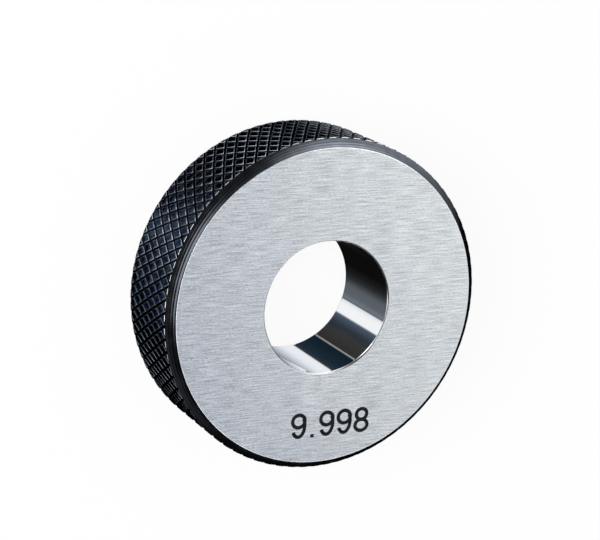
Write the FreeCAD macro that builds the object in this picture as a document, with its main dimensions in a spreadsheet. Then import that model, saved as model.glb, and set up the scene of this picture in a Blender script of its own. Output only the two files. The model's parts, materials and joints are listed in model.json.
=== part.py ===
import FreeCAD, Part
import Sketcher
import math
import os
from FreeCAD import Vector

# Setting ring gauge: one hardened steel ring with a lapped bore of known size, a ground
# marked face, and a diamond-knurled rim between two turned chamfers.
# It lies on its plain rear face: Z is the axis of the bore and points at the marked face,
# and the origin is on that axis in the rear face. Lengths in millimetres, angles in degrees.

doc = FreeCAD.newDocument("setting_ring_gauge")

DRIVING_SIZES = (
    ("outer_diameter", 25.0),       # over the crests of the knurl
    ("ring_width", 8.0),            # rear face to marked face
    ("bore_diameter", 9.998),       # lapped bore, the size that the ring stands for
    ("outer_chamfer", 0.65),        # both outer corners, at 45 degrees
    ("front_mouth_bevel", 0.08),    # broken edge of the bore at the marked face
    ("rear_mouth_bevel", 1.0),      # lead-in of the bore at the rear face
    ("knurl_count", 80),            # grooves of each hand around the rim
    ("knurl_angle", 29.0),          # grooves against the axis
    ("knurl_depth", 0.08),          # crest to root
    ("knurl_flank_angle", 120.0),   # between the two walls of a groove
)


def make_sheet():
    sheet = doc.addObject("Spreadsheet::Sheet", "sizes")
    for row, (alias, value) in enumerate(DRIVING_SIZES, start=1):
        sheet.set(f"A{row}", alias)
        sheet.set(f"B{row}", str(value))
        sheet.setAlias(f"B{row}", alias)
    doc.recompute()
    return sheet


sizes = make_sheet()

# How a sketch numbers its axes and the ends of a line. The horizontal axis starts at the origin.
AXIS = {"horizontal": -1, "vertical": -2}
END = {"start": 1, "finish": 2}


def knurled_bar():
    """Solid bar with a diamond knurl, a little longer than the ring at both ends.

    Grooves of both hands cross at the nodes of a lattice on the root cylinder. Four nodes
    surround each diamond: two beside its crest at the same height, one above, one below.
    The crest is flat, and each of the four flanks falls from a side of the crest to the
    groove's bottom, which is the straight line between two nodes.
    """
    crest_radius = sizes.outer_diameter / 2
    root_radius = crest_radius - sizes.knurl_depth
    count = round(sizes.knurl_count)
    half_step = math.pi / count
    half_width = crest_radius * half_step
    slope = math.radians(sizes.knurl_angle)
    half_height = half_width / math.tan(slope)

    groove_half_width = sizes.knurl_depth * math.tan(math.radians(sizes.knurl_flank_angle / 2))
    crest_share = 1 - groove_half_width / (half_width * math.cos(slope))
    crest_half_angle = crest_share * half_step
    flat_radius = crest_radius * math.cos(crest_half_angle)
    flat_half_width = crest_radius * math.sin(crest_half_angle)

    # The crest's upper corner is put where the flank through two nodes and the crest's side
    # corner meets the middle of the flat, so that every flank is a true plane.
    node_offset = root_radius * math.sin(half_step)
    node_sag = root_radius * (1 - math.cos(half_step))
    rise = flat_radius - root_radius * math.cos(half_step)
    lean = node_offset * rise + node_sag * (flat_half_width - node_offset)
    flat_half_height = half_height * rise * flat_half_width / lean

    def node(angle, height):
        return Vector(root_radius * math.cos(angle), root_radius * math.sin(angle), height)

    def polygon(*corners):
        return Part.Face(Part.makePolygon(list(corners) + [corners[0]]))

    def diamond(angle, height):
        outward = Vector(math.cos(angle), math.sin(angle), 0)
        around = Vector(-math.sin(angle), math.cos(angle), 0)
        middle = outward * flat_radius + Vector(0, 0, height)
        crest = [
            middle + around * flat_half_width,
            middle + Vector(0, 0, flat_half_height),
            middle - around * flat_half_width,
            middle - Vector(0, 0, flat_half_height),
        ]
        nodes = [
            node(angle + half_step, height),
            node(angle, height + half_height),
            node(angle - half_step, height),
            node(angle, height - half_height),
        ]
        faces = [polygon(*crest)]
        for side in range(4):
            after = (side + 1) % 4
            faces.append(polygon(crest[side], nodes[side], nodes[after], crest[after]))
        return faces

    def end_cap(row, up):
        """Shallow fan of triangles from the axis to the zigzag edge of the last row."""
        height = middle_height + row * half_height
        tip = Vector(0, 0, height + up * half_height / 2)
        faces = []
        for step in range(count):
            angle = row_angle(row) + 2 * half_step * step
            point = node(angle, height + up * half_height)
            faces.append(polygon(tip, node(angle - half_step, height), point))
            faces.append(polygon(tip, point, node(angle + half_step, height)))
        return faces

    def row_angle(row):
        return half_step * (row % 2)

    middle_height = sizes.ring_width / 2
    last_row = math.floor(middle_height / half_height) + 1
    faces = []
    for row in range(-last_row, last_row + 1):
        for step in range(count):
            angle = row_angle(row) + 2 * half_step * step
            faces += diamond(angle, middle_height + row * half_height)
    faces += end_cap(last_row, 1) + end_cap(-last_row, -1)

    shell = Part.makeShell(faces)
    shell.sewShape()
    bar = doc.addObject("Part::Feature", "knurled_bar")
    bar.Shape = Part.Solid(shell)
    return bar


def origin_plane(body, role):
    return next(item for item in body.Origin.OriginFeatures if item.Role == role)


def lathe_sketch(body, name, *outlines):
    """Sketch in the XZ plane with closed outlines, for turning about Z.

    Each corner of an outline is a radius and a height, both formulas on the sheet's sizes.
    """
    sketch = body.newObject("Sketcher::SketchObject", name)
    sketch.AttachmentSupport = [(origin_plane(body, "XZ_Plane"), "")]
    sketch.MapMode = "FlatFace"
    for corners in outlines:
        add_outline(sketch, corners)
    return sketch


def add_outline(sketch, corners):
    first = sketch.GeometryCount
    count = len(corners)
    points = [
        Vector(float(sketch.evalExpression(radius)), float(sketch.evalExpression(height)), 0)
        for radius, height in corners
    ]
    for side in range(count):
        line = Part.LineSegment(points[side], points[(side + 1) % count])
        sketch.addGeometry(line, False)
    for side in range(count):
        ends = (first + side, END["finish"], first + (side + 1) % count, END["start"])
        sketch.addConstraint(Sketcher.Constraint("Coincident", *ends))
    for side, (radius, height) in enumerate(corners):
        place_point(sketch, first + side, "DistanceX", "vertical", radius)
        place_point(sketch, first + side, "DistanceY", "horizontal", height)


def place_point(sketch, side, direction, axis, formula):
    """Keep the start of a side on an axis, or at a distance from the origin."""
    origin = (AXIS["horizontal"], END["start"])
    point = (side, END["start"])
    distance = float(sketch.evalExpression(formula))
    if distance == 0:
        sketch.addConstraint(Sketcher.Constraint("PointOnObject", *point, AXIS[axis]))
        return
    number = sketch.addConstraint(Sketcher.Constraint(direction, *origin, *point, distance))
    sketch.setExpression(f"Constraints[{number}]", formula)


def turn_away(body, sketch, name):
    """Groove all the way round that removes what the sketch outlines."""
    before = body.Shape.Volume
    groove = body.newObject("PartDesign::Groove", name)
    groove.Profile = sketch
    groove.ReferenceAxis = (sketch, ["V_Axis"])
    groove.Angle = 360
    groove.Refine = False
    body.Tip = groove
    doc.recompute()
    if not body.Shape.Volume < before:
        raise RuntimeError(f"{name} removed nothing")


def setting_ring():
    body = doc.addObject("PartDesign::Body", "setting_ring")
    body.Label = "setting_ring"
    body.BaseFeature = knurled_bar()
    doc.recompute()

    # Both ends are faced, and the 45 degree chamfers run out through the diamonds.
    face_radius = "sizes.outer_diameter / 2 - sizes.outer_chamfer"
    clear_radius = "sizes.outer_diameter / 2 + sizes.outer_chamfer"
    front_stock = [
        ("0", "sizes.ring_width"),
        (face_radius, "sizes.ring_width"),
        (clear_radius, "sizes.ring_width - 2 * sizes.outer_chamfer"),
        (clear_radius, "2 * sizes.ring_width"),
        ("0", "2 * sizes.ring_width"),
    ]
    rear_stock = [
        ("0", "0"),
        (face_radius, "0"),
        (clear_radius, "2 * sizes.outer_chamfer"),
        (clear_radius, "-sizes.ring_width"),
        ("0", "-sizes.ring_width"),
    ]
    ends = lathe_sketch(body, "end_stock", front_stock, rear_stock)
    turn_away(body, ends, "faced_ends")

    # The bore is one straight land between a wide lead-in and a finely broken edge.
    bore_radius = "sizes.bore_diameter / 2"
    core = [
        ("0", "0"),
        (bore_radius + " + sizes.rear_mouth_bevel", "0"),
        (bore_radius, "sizes.rear_mouth_bevel"),
        (bore_radius, "sizes.ring_width - sizes.front_mouth_bevel"),
        (bore_radius + " + sizes.front_mouth_bevel", "sizes.ring_width"),
        ("0", "sizes.ring_width"),
    ]
    bore = lathe_sketch(body, "bore_core", core)
    turn_away(body, bore, "lapped_bore")
    return body


def check_document(sub_parts):
    for item in doc.Objects:
        if "Invalid" in item.State or "Error" in item.State:
            raise RuntimeError(f"{item.Name} failed: {item.State}")
    for item in sub_parts:
        if item.Shape.isNull() or not item.Shape.isValid():
            raise RuntimeError(f"{item.Label} has no valid shape")
        if len(item.Shape.Solids) != 1:
            raise RuntimeError(f"{item.Label} is not one solid")


sub_parts = [setting_ring()]
for item in sub_parts:
    item.Placement = FreeCAD.Placement(Vector(0, 0, 0), FreeCAD.Rotation())
doc.recompute()
check_document(sub_parts)

os.makedirs("parts", exist_ok=True)
for item in sub_parts:
    item.Shape.exportStep(f"parts/{item.Label}.step")
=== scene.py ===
import json
import math

import bmesh
import bpy
from mathutils import Matrix, Vector


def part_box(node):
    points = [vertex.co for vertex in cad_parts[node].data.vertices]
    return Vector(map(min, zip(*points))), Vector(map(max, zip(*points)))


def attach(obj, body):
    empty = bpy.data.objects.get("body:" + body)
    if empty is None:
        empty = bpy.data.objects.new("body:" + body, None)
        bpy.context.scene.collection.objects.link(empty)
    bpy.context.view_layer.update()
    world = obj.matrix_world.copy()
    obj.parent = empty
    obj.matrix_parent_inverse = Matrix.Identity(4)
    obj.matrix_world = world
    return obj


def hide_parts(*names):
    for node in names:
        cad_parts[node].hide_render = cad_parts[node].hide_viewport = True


# The looks of the setting ring gauge: a finely rounded knurl, turned chamfers, broken edges
# and the size number, built in millimetres round the frame's own sizes and then scaled to metres.

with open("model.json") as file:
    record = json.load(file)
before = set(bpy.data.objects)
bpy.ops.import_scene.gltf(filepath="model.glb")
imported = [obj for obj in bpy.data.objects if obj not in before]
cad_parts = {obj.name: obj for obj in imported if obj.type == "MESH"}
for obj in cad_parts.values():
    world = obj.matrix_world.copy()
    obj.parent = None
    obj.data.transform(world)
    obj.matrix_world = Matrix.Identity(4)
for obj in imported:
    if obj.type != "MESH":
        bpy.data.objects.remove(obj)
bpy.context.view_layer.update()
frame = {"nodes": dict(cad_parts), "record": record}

MM = 0.001

# Sizes read from the frame, in millimetres.
ring = frame["nodes"]["setting_ring"]
crest_radius = max(math.hypot(vertex.co.x, vertex.co.y) for vertex in ring.data.vertices) / MM
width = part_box("setting_ring")[1].z / MM
gauging_bore = next(m for m in frame["record"]["mounts"] if m["name"] == "gauging_bore")
bore_radius = gauging_bore["dims"]["r_mm"]

# Sizes of the turned form, as in the frame.
OUTER_CHAMFER = 0.65
FRONT_MOUTH_BEVEL = 0.08
REAR_MOUTH_BEVEL = 1.0

# The knurl: grooves of each hand, their angle to the axis, and their section.
KNURL_COUNT = 80
KNURL_ANGLE = math.radians(29)
KNURL_DEPTH = 0.08
KNURL_FLANK = math.radians(60)
CREST_ROUNDING = 0.04
CREST_SEGMENTS = 3

# How finely round forms are divided.
TURNED_STEPS = 480
ARC_STEPS = 4

# Edges as they leave the grinder: most are only just broken.
EDGE_ROUNDING = 0.03
FACE_ROUNDING = 0.08
SHOULDER_ROUNDING = 0.12
BELL_ROUNDING = 0.15
RUNOUT_ROUNDING = 0.035

# The turned form stands this much outside the crests, so that the two never share a surface.
SHOULDER_CLEARANCE = 0.0006

# Extra rings of points this far inside each end of the bore keep its long faces evenly shaded.
LAND_MARGIN = 0.2

# Marks of the turning tool on the chamfers, and how far the chamfers bulge.
FEED_MARKS = 4
FEED_DEPTH = 0.007
FEED_STEPS = 6
CHAMFER_CROWN = 0.024

FINISHES = ("ground", "lapped", "bevelled", "turned", "crest", "crest_edge", "worn", "groove", "etched")
SLOT = {name: number for number, name in enumerate(FINISHES)}


# The knurl.

def knurled_drum():
    """A closed drum with a diamond knurl, longer than the ring at both ends.

    The grooves of both hands cross at the nodes of a lattice on the root cylinder. Around
    the drum a node's place is counted in half steps, and along it in rows.
    """
    half_step = math.pi / KNURL_COUNT
    half_width = crest_radius * half_step
    row_height = half_width / math.tan(KNURL_ANGLE)
    root_radius = crest_radius - KNURL_DEPTH
    groove_half_width = KNURL_DEPTH * math.tan(KNURL_FLANK)
    crest_half_angle = half_step * (1 - groove_half_width / (half_width * math.cos(KNURL_ANGLE)))
    flat_radius = crest_radius * math.cos(crest_half_angle)
    flat_half_width = crest_radius * math.sin(crest_half_angle)

    # Height of a crest's upper corner that makes every flank a true plane.
    node_offset = root_radius * math.sin(half_step)
    node_sag = root_radius * (1 - math.cos(half_step))
    rise = flat_radius - root_radius * math.cos(half_step)
    lean = node_offset * rise + node_sag * (flat_half_width - node_offset)
    flat_half_height = row_height * rise * flat_half_width / lean

    drum = bmesh.new()
    nodes = {}

    def node(step, row):
        place = (step % (2 * KNURL_COUNT), row)
        if place not in nodes:
            angle = place[0] * half_step
            height = width / 2 + row * row_height
            x, y = root_radius * math.cos(angle), root_radius * math.sin(angle)
            nodes[place] = drum.verts.new((x, y, height))
        return nodes[place]

    def diamond(step, row):
        """Adds a crest and its four flanks, and gives the crest's edges."""
        outward = Vector((math.cos(step * half_step), math.sin(step * half_step), 0))
        around = Vector((-outward.y, outward.x, 0)) * flat_half_width
        along = Vector((0, 0, flat_half_height))
        middle = outward * flat_radius + Vector((0, 0, width / 2 + row * row_height))
        corners = [middle + around, middle + along, middle - around, middle - along]
        crest = [drum.verts.new(corner) for corner in corners]
        foot = [node(step + 1, row), node(step, row + 1), node(step - 1, row), node(step, row - 1)]
        for side in range(4):
            after = (side + 1) % 4
            flank = drum.faces.new((crest[side], foot[side], foot[after], crest[after]))
            # The flanks take the groove finish, whose darkness is partly the black oxide left in the
            # hollows and partly painted shade.
            flank.material_index = SLOT["groove"]
        flat = drum.faces.new(crest)
        flat.material_index = SLOT["crest"]
        return list(flat.edges)

    crest_edges = []
    last_row = math.floor(width / 2 / row_height) + 1
    for row in range(-last_row, last_row + 1):
        for step in range(row % 2, 2 * KNURL_COUNT, 2):
            crest_edges += diamond(step, row)

    for row, end in ((last_row, last_row + 1), (-last_row, -last_row - 1)):
        tip = drum.verts.new((0, 0, width / 2 + end * row_height))
        for step in range(row % 2, 2 * KNURL_COUNT, 2):
            drum.faces.new((tip, node(step - 1, row), node(step, end)))
            drum.faces.new((tip, node(step, end), node(step + 1, row)))

    bmesh.ops.bevel(
        drum, geom=crest_edges, offset=CREST_ROUNDING, segments=CREST_SEGMENTS, profile=0.5,
        affect="EDGES", material=SLOT["crest_edge"],
    )
    bmesh.ops.recalc_face_normals(drum, faces=drum.faces)
    return finished_object("knurled_drum", drum)


def finished_object(name, shape):
    mesh = bpy.data.meshes.new(name)
    shape.to_mesh(mesh)
    shape.free()
    for finish in FINISHES:
        mesh.materials.append(materials[finish])
    piece = bpy.data.objects.new(name, mesh)
    bpy.context.scene.collection.objects.link(piece)
    return piece


# The turned form.

def rounded_outline(corners):
    """Points of a closed outline with its corners rounded, each with the finish of its next side.

    A corner is (place, rounding, finish of its arc, finish of the side after it).
    """
    points = []
    for number, (place, rounding, arc_finish, side_finish) in enumerate(corners):
        before = corners[number - 1][0]
        after = corners[(number + 1) % len(corners)][0]
        if rounding == 0:
            points.append((place, side_finish))
            continue
        back = (before - place).normalized()
        ahead = (after - place).normalized()
        half_angle = back.angle(ahead) / 2
        reach = rounding / math.tan(half_angle)
        centre = place + (back + ahead).normalized() * rounding / math.sin(half_angle)
        start = place + back * reach - centre
        finish = place + ahead * reach - centre
        turn = start.angle_signed(finish)
        for step in range(ARC_STEPS):
            points.append((centre + turned_vector(start, turn * step / ARC_STEPS), arc_finish))
        points.append((centre + finish, side_finish))
    return points


def turned_vector(vector, angle):
    return Matrix.Rotation(-angle, 2) @ vector


def with_feed_marks(points):
    """The same outline with a slight crown and shallow scallops along its turned sides."""
    marked = []
    for number, (place, finish) in enumerate(points):
        marked.append((place, finish))
        if finish != "turned":
            continue
        side = points[(number + 1) % len(points)][0] - place
        inward = Vector((-side.y, side.x)).normalized()
        divisions = FEED_MARKS * FEED_STEPS
        for step in range(1, divisions):
            share = (step % FEED_STEPS) / FEED_STEPS
            along = step / divisions
            depth = 4 * (FEED_DEPTH * share * (1 - share) - CHAMFER_CROWN * along * (1 - along))
            marked.append((place + side * step / divisions + inward * depth, finish))
    return marked


def ring_outline():
    """Section of the ring in (radius, height), anticlockwise, open past the crests."""
    face_radius = crest_radius - OUTER_CHAMFER
    shoulder_radius = crest_radius + SHOULDER_CLEARANCE
    shoulder = OUTER_CHAMFER + SHOULDER_CLEARANCE
    front_mouth = bore_radius + FRONT_MOUTH_BEVEL
    rear_mouth = bore_radius + REAR_MOUTH_BEVEL
    edge = EDGE_ROUNDING
    return with_feed_marks(rounded_outline([
        (Vector((rear_mouth, 0)), edge, "ground", "ground"),
        (Vector((face_radius, 0)), FACE_ROUNDING, "worn", "turned"),
        (Vector((shoulder_radius, shoulder)), SHOULDER_ROUNDING, "worn", "worn"),
        (Vector((shoulder_radius, width - shoulder)), SHOULDER_ROUNDING, "worn", "turned"),
        (Vector((face_radius, width)), FACE_ROUNDING, "worn", "ground"),
        (Vector((front_mouth, width)), edge, "bevelled", "bevelled"),
        (Vector((bore_radius, width - FRONT_MOUTH_BEVEL)), edge, "lapped", "lapped"),
        (Vector((bore_radius, width - FRONT_MOUTH_BEVEL - LAND_MARGIN)), 0, "lapped", "lapped"),
        (Vector((bore_radius, REAR_MOUTH_BEVEL + LAND_MARGIN)), 0, "lapped", "lapped"),
        (Vector((bore_radius, REAR_MOUTH_BEVEL)), BELL_ROUNDING, "lapped", "bevelled"),
    ]))


def turned_ring():
    """The section turned about the axis."""
    shape = bmesh.new()
    outline = ring_outline()
    loops = []
    for (radius, height), finish in outline:
        loops.append([
            shape.verts.new((radius * math.cos(angle), radius * math.sin(angle), height))
            for angle in (2 * math.pi * step / TURNED_STEPS for step in range(TURNED_STEPS))
        ])
    for number, (place, finish) in enumerate(outline):
        near = loops[number]
        far = loops[(number + 1) % len(loops)]
        for step in range(TURNED_STEPS):
            after = (step + 1) % TURNED_STEPS
            face = shape.faces.new((near[step], near[after], far[after], far[step]))
            face.material_index = SLOT[finish]
    bmesh.ops.recalc_face_normals(shape, faces=shape.faces)
    return finished_object("turned_ring", shape)


# The size number, sunk into the marked face.

NUMBER_DEPTH = 0.02
NUMBER_STROKE = 0.285
NUMBER_BASELINE = -9.93
NUMBER_LEFT = -2.47
DIGIT_WIDTH = 1.29
DIGIT_HEIGHT = 2.0
DIGIT_PITCH = 1.44
POINT_PITCH = 0.86
POINT_SHIFT = 0.2           # how far the point stands right of the middle of its gap
POINT_SIZE = 0.29
NINE_BOWL_HEIGHT = 1.26
NINE_TAIL = (-148, 40)      # start and finish of the tail, in degrees
EIGHT_LOWER_HEIGHT = 1.16
EIGHT_UPPER_HEIGHT = 0.84   # above the lower loop
EIGHT_UPPER_INSET = 0.14    # how much narrower the upper loop is
CURVE_STEPS = 40


def ellipse(centre, radii, start=0, finish=360):
    """Middle line of a stroke along an ellipse; angles in degrees, anticlockwise from the right."""
    return [
        Vector((
            centre[0] + radii[0] * math.cos(math.radians(angle)),
            centre[1] + radii[1] * math.sin(math.radians(angle)),
        ))
        for angle in (start + (finish - start) * step / CURVE_STEPS for step in range(CURVE_STEPS + 1))
    ]


def nine():
    """Middle lines of a nine: a closed bowl and a tail."""
    reach = (DIGIT_WIDTH - NUMBER_STROKE) / 2
    middle = DIGIT_WIDTH / 2
    bowl = (NINE_BOWL_HEIGHT - NUMBER_STROKE) / 2
    bowl_centre = (middle, DIGIT_HEIGHT - NINE_BOWL_HEIGHT / 2)
    tail_rise = (DIGIT_HEIGHT - NUMBER_STROKE) / 2
    tail_centre = (middle, DIGIT_HEIGHT / 2)
    return [
        ellipse(bowl_centre, (reach, bowl)),
        ellipse(tail_centre, (reach, tail_rise), *NINE_TAIL),
    ]


def eight():
    """Middle lines of an eight: a wide lower loop and a narrower upper one."""
    middle = DIGIT_WIDTH / 2
    upper_height = EIGHT_UPPER_HEIGHT + NUMBER_STROKE
    lower = ((DIGIT_WIDTH - NUMBER_STROKE) / 2, (EIGHT_LOWER_HEIGHT - NUMBER_STROKE) / 2)
    upper = ((DIGIT_WIDTH - EIGHT_UPPER_INSET - NUMBER_STROKE) / 2, (upper_height - NUMBER_STROKE) / 2)
    return [
        ellipse((middle, EIGHT_LOWER_HEIGHT / 2), lower),
        ellipse((middle, DIGIT_HEIGHT - upper_height / 2), upper),
    ]


def point():
    """A square point, as a short stroke of its own width."""
    return [[Vector((0, POINT_SIZE / 2)), Vector((POINT_SIZE, POINT_SIZE / 2))]]


def stroke_solid(line, stroke):
    """A stroke of even width along a line, standing through the marked face."""
    closed = (line[0] - line[-1]).length < stroke / 10
    if closed:
        line = line[:-1]
    count = len(line)
    shape = bmesh.new()
    sections = []
    for number, place in enumerate(line):
        if closed:
            way = line[(number + 1) % count] - line[number - 1]
        else:
            way = line[min(number + 1, count - 1)] - line[max(number - 1, 0)]
        across = Vector((-way.y, way.x)).normalized() * stroke / 2
        low, high = width - NUMBER_DEPTH, width + NUMBER_DEPTH
        corners = ((across, low), (-across, low), (-across, high), (across, high))
        sections.append([shape.verts.new((*(place + offset), height)) for offset, height in corners])
    for number in range(count if closed else count - 1):
        near = sections[number]
        far = sections[(number + 1) % count]
        for side in range(4):
            after = (side + 1) % 4
            shape.faces.new((near[side], near[after], far[after], far[side]))
    if not closed:
        shape.faces.new(sections[0])
        shape.faces.new(sections[-1])
    for face in shape.faces:
        face.material_index = SLOT["etched"]
    bmesh.ops.recalc_face_normals(shape, faces=shape.faces)
    return finished_object("number_stroke", shape)


def number_solids():
    """A solid for each stroke of the number 9.998, to be cut out of the face."""
    solids = []
    left = NUMBER_LEFT
    for strokes, pitch, stroke in (
        (nine(), DIGIT_PITCH + POINT_SHIFT, NUMBER_STROKE),
        (point(), POINT_PITCH - POINT_SHIFT, POINT_SIZE),
        (nine(), DIGIT_PITCH, NUMBER_STROKE),
        (nine(), DIGIT_PITCH, NUMBER_STROKE),
        (eight(), DIGIT_PITCH, NUMBER_STROKE),
    ):
        for line in strokes:
            placed = [place + Vector((left, NUMBER_BASELINE)) for place in line]
            solids.append(stroke_solid(placed, stroke))
        left += pitch
    return solids


# Materials.

def add_node(tree, kind, inputs=None, **settings):
    """A node with its settings and inputs: an input that is a socket is linked."""
    node = tree.nodes.new(kind)
    for name, value in settings.items():
        setattr(node, name, value)
    for name, value in (inputs or {}).items():
        if isinstance(value, bpy.types.NodeSocket):
            tree.links.new(value, node.inputs[name])
        else:
            node.inputs[name].default_value = value
    return node


def new_material(name):
    material = bpy.data.materials.new(name)
    material.use_nodes = True
    material.node_tree.nodes.clear()
    return material, material.node_tree


def output(tree, shader):
    add_node(tree, "ShaderNodeOutputMaterial", {"Surface": shader.outputs[0]})


def noise(tree, places, scale, detail=3.0, roughness=0.55):
    """Noise from 0 to 1 over places stretched by scale, features per millimetre along X, Y and Z."""
    mapped = add_node(tree, "ShaderNodeMapping", {
        "Vector": places,
        "Scale": tuple(share / MM for share in scale),
    })
    return add_node(tree, "ShaderNodeTexNoise", {
        "Vector": mapped.outputs[0], "Scale": 1.0, "Detail": detail, "Roughness": roughness,
    }).outputs[0]


def span(tree, value, low, high, from_low=0.3, from_high=0.7):
    """Spreads a value over low to high. Noise mostly lies between 0.3 and 0.7."""
    return add_node(tree, "ShaderNodeMapRange", {
        "Value": value, "From Min": from_low, "From Max": from_high, "To Min": low, "To Max": high,
    }).outputs[0]


def mixed(tree, share, first, second):
    """A mix of two colours, each a socket or a plain colour."""
    mix = add_node(tree, "ShaderNodeMix", data_type="RGBA")
    tree.links.new(share, mix.inputs[0])
    for place, colour in ((6, first), (7, second)):
        if isinstance(colour, bpy.types.NodeSocket):
            tree.links.new(colour, mix.inputs[place])
        else:
            mix.inputs[place].default_value = (*colour, 1)
    return mix.outputs[2]


def bump(tree, height, strength, distance):
    """Normals of a surface with fine relief; its depth in millimetres."""
    return add_node(tree, "ShaderNodeBump", {
        "Height": height, "Strength": strength, "Distance": distance * MM,
    }).outputs[0]


def object_places(tree):
    return add_node(tree, "ShaderNodeTexCoord").outputs["Object"]


def round_places(tree):
    """Places as (angle, radius, height), for marks that run round the axis; the angle in radians."""
    axes = add_node(tree, "ShaderNodeSeparateXYZ", {0: object_places(tree)}).outputs
    angle = add_node(tree, "ShaderNodeMath", {0: axes[1], 1: axes[0]}, operation="ARCTAN2")
    flat = add_node(tree, "ShaderNodeCombineXYZ", {0: axes[0], 1: axes[1]})
    radius = add_node(tree, "ShaderNodeVectorMath", {0: flat.outputs[0]}, operation="LENGTH")
    arc = add_node(tree, "ShaderNodeMath", {0: angle.outputs[0], 1: MM}, operation="MULTIPLY")
    return add_node(tree, "ShaderNodeCombineXYZ", {
        0: arc.outputs[0], 1: radius.outputs["Value"], 2: axes[2],
    }).outputs[0]


def ground_steel():
    """Flat face from the surface grinder: short fine scratches along X over longer streaks."""
    material, tree = new_material("ground")
    places = object_places(tree)
    fine = noise(tree, places, (4.5, 15, 1), detail=2, roughness=0.6)
    long = noise(tree, places, (0.6, 11, 1), detail=1)
    streaks = add_node(tree, "ShaderNodeMath", {0: fine, 1: long}, operation="ADD").outputs[0]
    lightness = span(tree, streaks, 0, 1, 0.72, 1.28)
    shader = add_node(tree, "ShaderNodeBsdfPrincipled", {
        "Base Color": mixed(tree, lightness, (0.40, 0.42, 0.45), (0.80, 0.82, 0.85)),
        "Metallic": 1.0,
        "Roughness": span(tree, fine, 0.26, 0.40),
        "Normal": bump(tree, fine, 0.10, 0.004),
    })
    output(tree, shader)
    return material


def lapped_steel():
    """Bore from the lap: a dull mirror with hair-fine marks round the axis."""
    material, tree = new_material("lapped")
    marks = noise(tree, round_places(tree), (0.8, 1, 22), detail=3)
    shader = add_node(tree, "ShaderNodeBsdfPrincipled", {
        "Base Color": mixed(tree, span(tree, marks, 0, 1), (0.86, 0.87, 0.88), (0.94, 0.94, 0.95)),
        "Metallic": 1.0,
        "Roughness": span(tree, marks, 0.03, 0.07),
        "Normal": bump(tree, marks, 0.02, 0.001),
    })
    output(tree, shader)
    return material


def bevelled_steel():
    """Mouth bevels, turned bright."""
    material, tree = new_material("bevelled")
    marks = noise(tree, round_places(tree), (0.5, 12, 12), detail=3)
    shader = add_node(tree, "ShaderNodeBsdfPrincipled", {
        "Base Color": mixed(tree, span(tree, marks, 0, 1), (0.46, 0.47, 0.49), (0.58, 0.59, 0.61)),
        "Metallic": 1.0,
        "Roughness": span(tree, marks, 0.16, 0.28),
        "Normal": bump(tree, marks, 0.10, 0.002),
    })
    output(tree, shader)
    return material


def blackened_steel(name, places_of, scale, dark, light, rough, strength, glance=0.5):
    """Steel under thin black oxide: a dark mirror, mottled from cell to cell and finely pitted.

    Glance is how much of the usual brightening is left where it is seen from the side.
    """
    material, tree = new_material(name)
    marks = noise(tree, places_of(tree), scale, detail=3)
    mottle = noise(tree, object_places(tree), (1.1, 1.1, 1.1), detail=4)
    share = add_node(tree, "ShaderNodeMath", {0: marks, 1: mottle}, operation="MULTIPLY").outputs[0]
    shader = add_node(tree, "ShaderNodeBsdfPrincipled", {
        "Base Color": mixed(tree, span(tree, share, 0, 1, 0.15, 0.4), dark, light),
        "Metallic": 1.0,
        "Specular Tint": (glance, glance, glance, 1),
        "Roughness": span(tree, mottle, rough - 0.06, rough + 0.08),
        "Normal": bump(tree, marks, strength, 0.004),
    })
    output(tree, shader)
    return material


def make_materials():
    return {
        "ground": ground_steel(),
        "lapped": lapped_steel(),
        "bevelled": bevelled_steel(),
        "turned": blackened_steel(
            "turned", round_places, scale=(0.4, 14, 14), rough=0.13, strength=0.10,
            dark=(0.11, 0.125, 0.15), light=(0.18, 0.195, 0.22)),
        "crest": blackened_steel(
            "crest", object_places, scale=(5, 5, 5), rough=0.11, strength=0.04, glance=0.10,
            dark=(0.06, 0.075, 0.10), light=(0.14, 0.16, 0.20)),
        "crest_edge": blackened_steel(
            "crest_edge", object_places, scale=(9, 9, 9), rough=0.12, strength=0.08, glance=0.3,
            dark=(0.13, 0.145, 0.17), light=(0.30, 0.32, 0.36)),
        "worn": blackened_steel(
            "worn", object_places, scale=(6, 6, 6), rough=0.16, strength=0.10, glance=0.9,
            dark=(0.50, 0.51, 0.53), light=(0.90, 0.92, 0.94)),
        # The flanks of the grooves are far darker than the crests: partly the black oxide that stays in
        # the hollows, partly painted shade.
        "groove": blackened_steel(
            "groove", object_places, scale=(9, 9, 9), rough=0.30, strength=0.20, glance=0.2,
            dark=(0.004, 0.006, 0.009), light=(0.014, 0.018, 0.025)),
        "etched": blackened_steel(
            "etched", object_places, scale=(12, 12, 12), rough=0.50, strength=0.20,
            dark=(0.010, 0.010, 0.012), light=(0.03, 0.03, 0.034)),
    }


# Putting the piece together.

# Faces whose normal is this near to the axis are flat, and keep their own normals.
FLAT_NORMAL = 0.99999
SHARP_ANGLE = math.radians(20)


def cut(piece, tool, operation):
    """Applies a boolean with a tool, and removes the tool."""
    modifier = piece.modifiers.new("cut", "BOOLEAN")
    modifier.operation = operation
    modifier.solver = "MANIFOLD"
    modifier.object = tool
    settle(piece)
    bpy.data.objects.remove(tool)


def round_runout(piece):
    """Breaks the sharp border where the grooves run out in the chamfers."""
    shape = bmesh.new()
    shape.from_mesh(piece.data)
    border = []
    for edge in shape.edges:
        finishes = {FINISHES[face.material_index] for face in edge.link_faces}
        if "turned" in finishes and finishes & {"crest", "groove"}:
            border.append(edge)
    bmesh.ops.bevel(
        shape, geom=border, offset=RUNOUT_ROUNDING, segments=1, profile=0.5,
        affect="EDGES", clamp_overlap=True, material=SLOT["worn"],
    )
    shape.to_mesh(piece.data)
    shape.free()


def settle(piece):
    """Makes the piece's modifiers part of its mesh."""
    bpy.context.view_layer.update()
    depsgraph = bpy.context.evaluated_depsgraph_get()
    mesh = bpy.data.meshes.new_from_object(piece.evaluated_get(depsgraph))
    piece.modifiers.clear()
    piece.data = mesh


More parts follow.
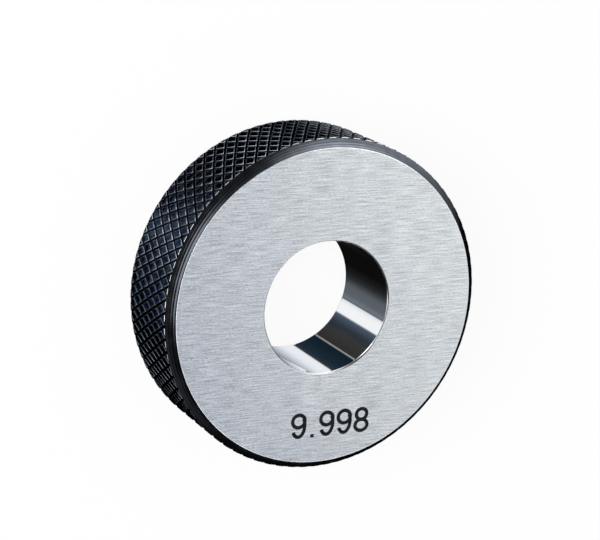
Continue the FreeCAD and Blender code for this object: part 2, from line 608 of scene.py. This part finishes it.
def gauge_body():
    """The whole ring: the turned form, cut by the knurl and by the number."""
    piece = turned_ring()
    cut(piece, knurled_drum(), "INTERSECT")
    round_runout(piece)
    for solid in number_solids():
        cut(piece, solid, "DIFFERENCE")
    piece.name = "gauge_ring"
    piece.data.name = "gauge_ring"
    piece.data.transform(Matrix.Scale(MM, 4))
    for polygon in piece.data.polygons:
        polygon.use_smooth = abs(polygon.normal.z) < FLAT_NORMAL
    piece.data.set_sharp_from_angle(angle=SHARP_ANGLE)
    weighted = piece.modifiers.new("weighted", "WEIGHTED_NORMAL")
    weighted.keep_sharp = True
    settle(piece)
    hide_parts("setting_ring")
    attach(piece, "root")
    return piece


# The studio.

def direction_to(azimuth, elevation):
    """The way to a place in the studio, from angles in degrees."""
    azimuth, elevation = math.radians(azimuth), math.radians(elevation)
    flat = math.cos(elevation)
    return Vector((flat * math.cos(azimuth), flat * math.sin(azimuth), math.sin(elevation)))


def soft_step(tree, value, low, high):
    return add_node(tree, "ShaderNodeMapRange", {
        "Value": value, "From Min": low, "From Max": high,
    }, interpolation_type="SMOOTHSTEP").outputs[0]


def ramp(tree, share, stops):
    """Colours over azimuths from -180 to 180 degrees."""
    node = add_node(tree, "ShaderNodeValToRGB", {"Fac": share})
    elements = node.color_ramp.elements
    elements.remove(elements[0])
    for number, (azimuth, colour) in enumerate(stops):
        place = (azimuth + 180) / 360
        element = elements[0] if number == 0 else elements.new(place)
        element.position = place
        element.color = (*colour, 1)
    return node.outputs[0]


def grey(level, warmth=0.0):
    """A grey, redder where warmth is over zero and bluer where it is under."""
    return (level * (1 + warmth), level, level * (1 - warmth))


# Cards and panels under the ring, as its bore and crests show them: azimuth, colour.
LOW_CARDS = (
    (-180, grey(0.200, -0.14)),
    (-172, grey(0.130, -0.14)),
    (-158, grey(0.115, -0.12)),
    (-153, grey(0.075, -0.12)),
    (-145, grey(0.028, -0.10)),
    (-135, grey(0.012, -0.10)),
    (-120, grey(0.004)),
    (-80, grey(0.004)),
    (-60, grey(0.008)),
    (-42, grey(0.012)),
    (-34, grey(0.10, -0.10)),
    (-18, grey(0.17, -0.14)),
    (-8, grey(0.27, -0.14)),
    (10, grey(0.52, -0.10)),
    (30, grey(0.86, -0.05)),
    (40, grey(0.92, -0.03)),
    (51, grey(0.90, -0.01)),
    (53, (0.024, 0.038, 0.052)),
    (66, (0.012, 0.024, 0.038)),
    (95.2, (0.005, 0.014, 0.024)),
    (96.6, grey(0.60)),
    (98.0, grey(0.030, 0.02)),
    (122, grey(0.038, 0.01)),
    (131, (0.026, 0.033, 0.042)),
    (136, (0.030, 0.042, 0.060)),
    (150, (0.075, 0.105, 0.145)),
    (152.5, grey(1.00, -0.02)),
    (168, grey(0.98, -0.01)),
    (175, grey(0.85, -0.03)),
    (177, grey(0.05, -0.08)),
    (179, grey(0.20, -0.14)),
)

# Nearly straight below, as the edges of the crests towards the rear show it.
UNDER_CARDS = (
    (-180, grey(0.50)),
    (-120, grey(0.15)),
    (-90, grey(0.02)),
    (56, grey(0.05)),
    (70, grey(2.4)),
    (84, grey(1.5)),
    (130, grey(1.4)),
    (150, grey(0.5)),
    (180, grey(0.50)),
)

# Steeply below the horizon, as the edges of the crests towards the marked face show it.
WALL_CARDS = (
    (-180, grey(0.3)),
    (-168, grey(1.0)),
    (-158, grey(1.8)),
    (-150, grey(2.4)),
    (-143, grey(1.5)),
    (-136, grey(0.4)),
    (-128, grey(0.01)),
    (-60, grey(0.004)),
    (-2, grey(0.01)),
    (12, grey(3.5)),
    (30, grey(4.5)),
    (46, grey(5.0)),
    (66, grey(4.5)),
    (80, grey(1.2)),
    (90, grey(0.3)),
    (100, grey(0.3)),
    (110, grey(2.4)),
    (120, grey(4.0)),
    (130, grey(3.8)),
    (140, grey(1.4)),
    (160, grey(0.3)),
)

# Just below the horizon, as the border between knurl and chamfer shows it.
RIM_CARDS = (
    (-180, grey(2.8)),
    (-158, grey(2.6)),
    (-140, grey(0.3)),
    (-110, grey(0.01)),
    (0, grey(0.01)),
    (28, grey(1.4)),
    (70, grey(1.6)),
    (88, grey(0.2)),
    (136, grey(0.3)),
    (150, grey(2.8)),
)

# At the horizon and a little above it, as the chamfer shows it.
HIGH_CARDS = (
    (-180, grey(0.07)),
    (-165, grey(0.06)),
    (-150, grey(0.12)),
    (-115, grey(0.10)),
    (-100, grey(0.02)),
    (0, grey(0.10)),
    (24, grey(0.75)),
    (45, grey(1.1)),
    (66, grey(1.0)),
    (80, grey(0.5)),
    (94, grey(0.06)),
    (110, grey(0.05)),
    (165, grey(0.07)),
)

# Higher up, as the turning marks on the upper part of the chamfer show it.
UPPER_CARDS = (
    (-180, grey(0.07)),
    (-165, grey(0.04)),
    (-150, grey(0.02)),
    (-60, grey(0.01)),
    (8, grey(0.05)),
    (24, grey(1.6)),
    (48, grey(2.4)),
    (66, grey(2.2)),
    (78, grey(1.0)),
    (90, grey(0.35)),
    (100, grey(0.10)),
    (110, grey(0.05)),
    (165, grey(0.07)),
)

# A strip over the far side, as the turning marks on the left part of the chamfer show it.
STRIP_CARDS = (
    (-180, grey(1.4)),
    (-162, grey(1.2)),
    (-150, grey(0.1)),
    (-60, grey(0.2)),
    (30, grey(1.6)),
    (75, grey(1.6)),
    (95, grey(0.15)),
    (124, grey(0.1)),
    (136, grey(0.7)),
    (148, grey(1.6)),
)

# Each set of cards starts above the one before it, between two heights on the unit sphere.
BANDS = (
    (UNDER_CARDS, -0.992, -0.985),
    (LOW_CARDS, -0.955, -0.945),
    (WALL_CARDS, -0.825, -0.785),
    (RIM_CARDS, -0.56, -0.48),
    (HIGH_CARDS, -0.16, -0.06),
    (UPPER_CARDS, 0.18, 0.28),
    (STRIP_CARDS, 0.50, 0.54),
)
TENT_START = (0.70, 0.76)

# Straight below, under all the cards, there is nothing but a dim bench.
BENCH_COLOUR = grey(0.14)

# The tent over the ring brightens evenly from one side to the other.
TENT_SLOPE = Vector((0.983, 0.182, 0))
TENT_SPAN = (0.24, 0.48)
TENT_COLOURS = ((0.06, 0.11, 0.25), (1.82, 1.83, 1.72))

# A curved strip lamp round the part of the tent that the marked face shows, on one side of it.
# The broken edge of the face shows it as a fine bright line.
TENT_CENTRE = direction_to(-31, 60)
LAMP_OUTSIDE = (math.cos(math.radians(61)), math.cos(math.radians(56)))
LAMP_INSIDE = (math.cos(math.radians(30)), math.cos(math.radians(26)))
LAMP_SIDE = direction_to(-130, 20)
LAMP_SIDE_SPAN = (0.05, 0.25)
LAMP_COLOUR = grey(2.3)

# What the camera sees past the floor, and the plain light that falls on dull surfaces.
BACKDROP_LEVEL = 1.0
PLAIN_LEVEL = 0.6


def make_world():
    world = bpy.data.worlds.new("studio")
    bpy.context.scene.world = world
    world.use_nodes = True
    tree = world.node_tree
    tree.nodes.clear()
    direction = add_node(tree, "ShaderNodeTexCoord").outputs["Generated"]
    axes = add_node(tree, "ShaderNodeSeparateXYZ", {0: direction}).outputs
    azimuth = add_node(tree, "ShaderNodeMath", {0: axes[1], 1: axes[0]}, operation="ARCTAN2").outputs[0]
    share = span(tree, azimuth, 0, 1, -math.pi, math.pi)
    tent = mixed(tree, span(tree, toward(tree, direction, TENT_SLOPE), 0, 1, *TENT_SPAN), *TENT_COLOURS)
    studio = BENCH_COLOUR
    for cards, start, finish in BANDS:
        studio = mixed(tree, soft_step(tree, axes[2], start, finish), studio, ramp(tree, share, cards))
    studio = mixed(tree, soft_step(tree, axes[2], *TENT_START), studio, tent)
    spread = toward(tree, direction, TENT_CENTRE)
    outer_rim = soft_step(tree, spread, *LAMP_OUTSIDE)
    inner_rim = soft_step(tree, spread, *reversed(LAMP_INSIDE))
    one_side = soft_step(tree, toward(tree, direction, LAMP_SIDE), *LAMP_SIDE_SPAN)
    lamp = times(tree, times(tree, outer_rim, inner_rim), one_side)
    studio = mixed(tree, lamp, studio, LAMP_COLOUR)
    path = add_node(tree, "ShaderNodeLightPath").outputs
    plain = add_node(tree, "ShaderNodeBackground", {"Color": (*grey(1.0), 1), "Strength": PLAIN_LEVEL})
    backdrop = add_node(tree, "ShaderNodeBackground", {
        "Color": (*grey(1.0), 1), "Strength": BACKDROP_LEVEL,
    })
    cards = add_node(tree, "ShaderNodeBackground", {"Color": studio, "Strength": 1.0})
    mirrored = add_node(tree, "ShaderNodeMixShader", {
        0: seen_in_reflection(tree), 1: plain.outputs[0], 2: cards.outputs[0],
    })
    final = add_node(tree, "ShaderNodeMixShader", {
        0: path["Is Camera Ray"], 1: mirrored.outputs[0], 2: backdrop.outputs[0],
    })
    add_node(tree, "ShaderNodeOutputWorld", {"Surface": final.outputs[0]})


def times(tree, first, second):
    return add_node(tree, "ShaderNodeMath", {0: first, 1: second}, operation="MULTIPLY").outputs[0]


def toward(tree, direction, aim):
    return add_node(tree, "ShaderNodeVectorMath", {
        0: direction, 1: tuple(aim),
    }, operation="DOT_PRODUCT").outputs["Value"]


def seen_in_reflection(tree):
    path = add_node(tree, "ShaderNodeLightPath").outputs
    return add_node(tree, "ShaderNodeMath", {
        0: path["Is Glossy Ray"], 1: path["Is Transmission Ray"],
    }, operation="ADD").outputs[0]


# Cards close under the ring, that only its outside shows: black ones keep the crests on the far
# side and at the limbs dark, pale ones light the crests on the left. Each is part of a flat ring:
# its name, its radii, its start and finish in degrees, and how pale it is.
CARD_MIDDLE = Vector((-3, 2)) * MM
CARD_DROP = 20 * MM
CARD_STEPS = 40
CARD_TINT = (0.94, 1.0, 1.10, 1)
CLOSE_CARDS = (
    ("limb_card", (20.4, 26), (-3, 38), 0.05),
    ("right_card", (20.4, 26), (38, 66), 0.75),
    ("half_far_card", (20.4, 26), (66, 76), 0.20),
    ("far_card", (20.4, 26), (76, 121), 0.0),
    ("half_card", (20.4, 26), (121, 138), 0.3),
    ("left_card", (20.4, 26), (138, 186), 0.62),
    ("low_card", (20.4, 26), (186, 214), 0.75),
    ("lowest_card", (20.4, 26), (214, 228), 0.5),
    ("dark_card", (20.4, 31), (-132, -112), 0.0),
    ("near_card", (20.4, 38), (-112, -55), 0.0),
)


def make_card(name, radii, sector, level):
    shape = bmesh.new()
    start, finish = sector
    pairs = []
    for step in range(CARD_STEPS + 1):
        angle = math.radians(start + (finish - start) * step / CARD_STEPS)
        way = Vector((math.cos(angle), math.sin(angle)))
        places = [CARD_MIDDLE + way * radius * MM for radius in radii]
        pairs.append([shape.verts.new((*place, -CARD_DROP)) for place in places])
    for near, far in zip(pairs, pairs[1:]):
        shape.faces.new((near[0], near[1], far[1], far[0]))
    mesh = bpy.data.meshes.new(name)
    shape.to_mesh(mesh)
    shape.free()
    card = bpy.data.objects.new(name, mesh)
    bpy.context.scene.collection.objects.link(card)
    material, tree = new_material(name)
    glow = add_node(tree, "ShaderNodeEmission", {"Color": CARD_TINT, "Strength": level})
    output(tree, glow)
    mesh.materials.append(material)
    card.visible_camera = False
    card.visible_diffuse = False
    card.visible_shadow = False


FLOOR_REACH = 1.0
FLOOR_DROP = 0.02 * MM      # keeps the floor out of the plane of the rear face
FLOOR_GLOW = 0.92           # the rest is left to the shadow


def make_floor():
    """A plain pale floor that keeps a faint shadow; reflections look past it to the cards."""
    shape = bmesh.new()
    bmesh.ops.create_grid(shape, x_segments=1, y_segments=1, size=FLOOR_REACH)
    mesh = bpy.data.meshes.new("floor")
    shape.to_mesh(mesh)
    shape.free()
    floor = bpy.data.objects.new("floor", mesh)
    bpy.context.scene.collection.objects.link(floor)
    material, tree = new_material("floor")
    path = add_node(tree, "ShaderNodeLightPath").outputs
    diffuse = add_node(tree, "ShaderNodeBsdfDiffuse", {"Color": (*grey(0.9), 1)})
    glow = add_node(tree, "ShaderNodeEmission", {"Color": (*grey(1.0), 1), "Strength": 1.0})
    pale = add_node(tree, "ShaderNodeMixShader", {
        0: FLOOR_GLOW, 1: diffuse.outputs[0], 2: glow.outputs[0],
    })
    shown = add_node(tree, "ShaderNodeMixShader", {
        0: path["Is Camera Ray"], 1: diffuse.outputs[0], 2: pale.outputs[0],
    })
    clear = add_node(tree, "ShaderNodeBsdfTransparent")
    final = add_node(tree, "ShaderNodeMixShader", {
        0: seen_in_reflection(tree), 1: shown.outputs[0], 2: clear.outputs[0],
    })
    output(tree, final)
    mesh.materials.append(material)
    floor.location.z = -FLOOR_DROP


def make_light(name, azimuth, elevation, distance, size, energy):
    lamp = bpy.data.lights.new(name, "AREA")
    lamp.shape = "DISK"
    lamp.size = size
    lamp.energy = energy
    light = bpy.data.objects.new(name, lamp)
    place = direction_to(azimuth, elevation) * distance
    light.location = place
    light.rotation_euler = place.to_track_quat("Z", "Y").to_euler()
    light.visible_glossy = False
    bpy.context.scene.collection.objects.link(light)
    return light


# The camera looks down at the marked face from its upper left.
CAMERA_TARGET = Vector((-2.385, 3.01, 8.0)) * MM
CAMERA_DISTANCE = 143.72 * MM
CAMERA_AZIMUTH = 149.151
CAMERA_ELEVATION = 60.114
CAMERA_ROLL = 120.385
CAMERA_LENS = 120
CAMERA_CLIP = 0.01
SENSOR_WIDTH = 36


def make_camera():
    lens = bpy.data.cameras.new("camera")
    lens.lens = CAMERA_LENS
    lens.sensor_width = SENSOR_WIDTH
    lens.clip_start = CAMERA_CLIP
    camera = bpy.data.objects.new("camera", lens)
    toward = direction_to(CAMERA_AZIMUTH, CAMERA_ELEVATION)
    camera.location = CAMERA_TARGET + toward * CAMERA_DISTANCE
    level = toward.to_track_quat("Z", "Y").to_matrix()
    turn = level @ Matrix.Rotation(math.radians(CAMERA_ROLL), 3, "Z")
    camera.rotation_euler = turn.to_euler()
    bpy.context.scene.collection.objects.link(camera)
    bpy.context.scene.camera = camera


materials = make_materials()
gauge_body()
make_world()
make_floor()
for card in CLOSE_CARDS:
    make_card(*card)
make_light("key", azimuth=165, elevation=40, distance=0.5, size=0.35, energy=2.0)
make_camera()
bpy.context.scene.view_settings.view_transform = "Standard"
